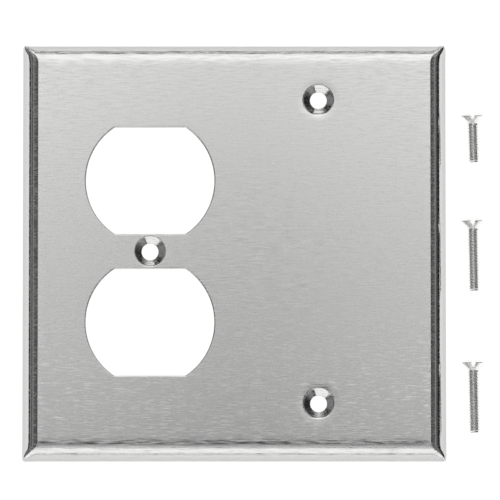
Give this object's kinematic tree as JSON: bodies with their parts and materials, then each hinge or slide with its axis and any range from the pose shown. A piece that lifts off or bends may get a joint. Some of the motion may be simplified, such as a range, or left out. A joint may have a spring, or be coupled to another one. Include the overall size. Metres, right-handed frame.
{
  "type": "wall plate",
  "caption": "Two-gang stainless steel wall plate: duplex receptacle openings in the left gang, blank right gang, dimpled screw holes, with its loose slotted oval-head screws.",
  "frame": {"origin": "centre of the plate's rear face, the face that bears on the device straps", "axes": "+X to the right and +Y to the top of the installed plate, +Z out of the wall; the plate lies on its rim, so the bench is the plane of the rim's edge at z = -4.7 mm"},
  "size_m": [0.1265, 0.1142, 0.0067],
  "materials": {
    "brushed_stainless": "stainless steel brushed lengthwise along X, satin",
    "bright_steel": "bright polished steel"
  },
  "bodies": {
    "plate": {"wall_plate": "brushed_stainless"},
    "receptacle_screw": {"receptacle_screw": "bright_steel"},
    "blank_screw_upper": {"blank_screw_upper": "bright_steel"},
    "blank_screw_lower": {"blank_screw_lower": "bright_steel"}
  },
  "joints": [
    {"name": "receptacle_screw_turn", "type": "hinge", "parent": "plate", "child": "receptacle_screw", "pos_m": [0.06522, 0.03755, -0.00133], "axis": [-0.0311, 0.9909, 0.1308], "continuous": true},
    {"name": "blank_screw_upper_turn", "type": "hinge", "parent": "plate", "child": "blank_screw_upper", "pos_m": [0.06523, 0.00854, -0.00131], "axis": [-0.0191, 0.996, 0.0876], "continuous": true},
    {"name": "blank_screw_lower_turn", "type": "hinge", "parent": "plate", "child": "blank_screw_lower", "pos_m": [0.06523, -0.03036, -0.00131], "axis": [-0.0191, 0.996, 0.0876], "continuous": true}
  ]
}
